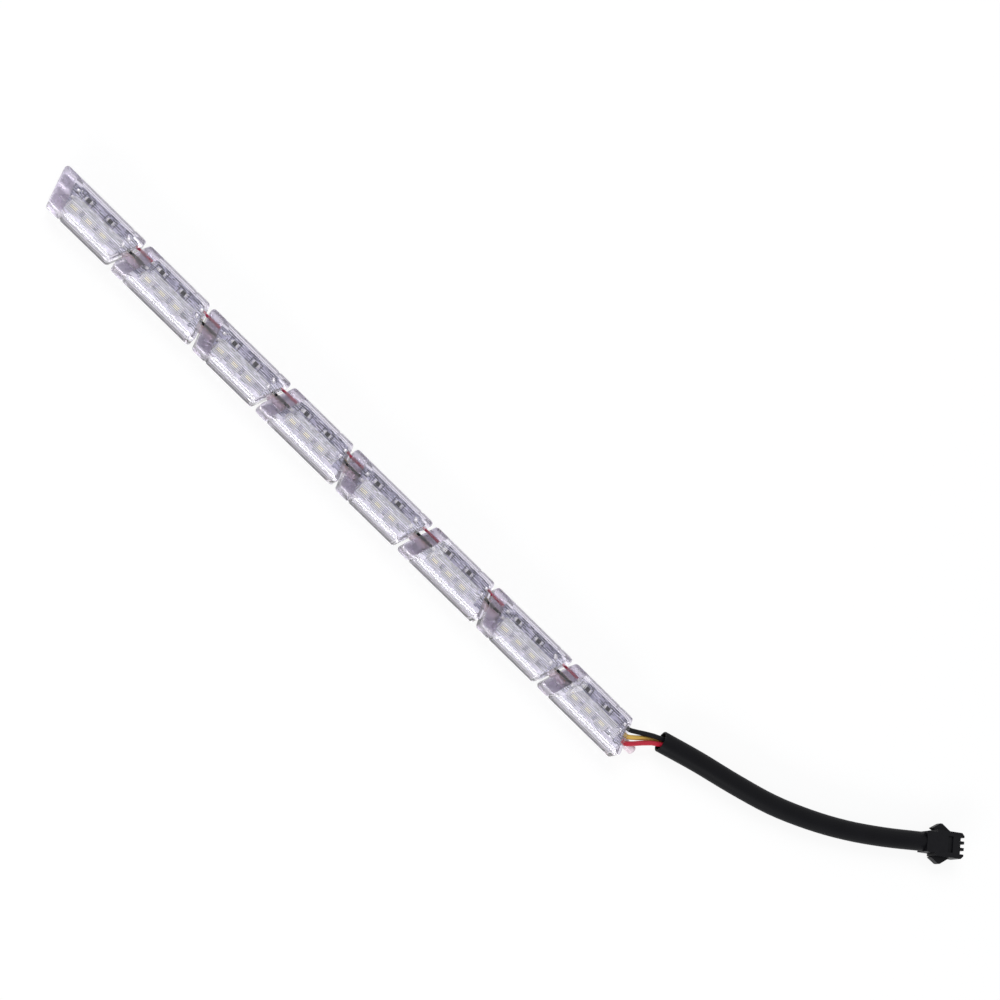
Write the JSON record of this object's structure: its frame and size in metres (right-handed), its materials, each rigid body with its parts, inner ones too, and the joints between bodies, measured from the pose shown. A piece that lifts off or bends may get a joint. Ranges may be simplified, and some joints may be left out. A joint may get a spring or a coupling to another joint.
{
  "type": "daytime running light",
  "caption": "Flexible daytime running light strip of clear faceted trapezoid blocks with LEDs on boards inside, and a short sleeved lead that ends in a black plug.",
  "frame": {"origin": "under the middle of the strip with its last peg, on the face that is stuck down", "axes": "+X along the strip towards the lead, +Y across it towards the edge where the first block is long, +Z out of the stuck face"},
  "size_m": [0.3208, 0.0576, 0.008],
  "materials": {
    "cover_clear": "clear polished",
    "base_clear": "clear moulded",
    "board_white": "white solder mask",
    "led_package": "moulded",
    "phosphor_yellow": "silicone gel",
    "resistor_black": "coated",
    "spine_translucent": "soft translucent",
    "tape_white": "foam tape",
    "wire_black": "soft insulation",
    "wire_yellow": "soft insulation",
    "wire_red": "soft insulation",
    "sleeve_black": "soft sleeve",
    "plug_black": "moulded",
    "contact_metal": "plated"
  },
  "bodies": {
    "root": {"block_base_1": "base_clear", "block_base_2": "base_clear", "block_base_3": "base_clear", "block_base_4": "base_clear", "block_base_5": "base_clear", "block_base_6": "base_clear", "block_base_7": "base_clear", "block_base_8": "base_clear", "board_1": "board_white", "board_2": "board_white", "board_3": "board_white", "board_4": "board_white", "board_5": "board_white", "board_6": "board_white", "board_7": "board_white", "board_8": "board_white", "leds_1": "led_package", "leds_2": "led_package", "leds_3": "led_package", "leds_4": "led_package", "leds_5": "led_package", "leds_6": "led_package", "leds_7": "led_package", "leds_8": "led_package", "resistors_1": "resistor_black", "resistors_2": "resistor_black", "resistors_3": "resistor_black", "resistors_4": "resistor_black", "resistors_5": "resistor_black", "resistors_6": "resistor_black", "resistors_7": "resistor_black", "resistors_8": "resistor_black", "block_cover_1": "cover_clear", "block_cover_2": "cover_clear", "block_cover_3": "cover_clear", "block_cover_4": "cover_clear", "block_cover_5": "cover_clear", "block_cover_6": "cover_clear", "block_cover_7": "cover_clear", "block_cover_8": "cover_clear", "led_phosphor": "phosphor_yellow", "spine": "spine_translucent", "tape_pads": "tape_white", "link_wires_black": "wire_black", "link_wires_yellow": "wire_yellow", "link_wires_red": "wire_red", "wire_black": "wire_black", "wire_yellow": "wire_yellow", "wire_red": "wire_red", "lead_sleeve": "sleeve_black", "plug_housing": "plug_black", "plug_contacts": "contact_metal"}
  },
  "joints": []
}
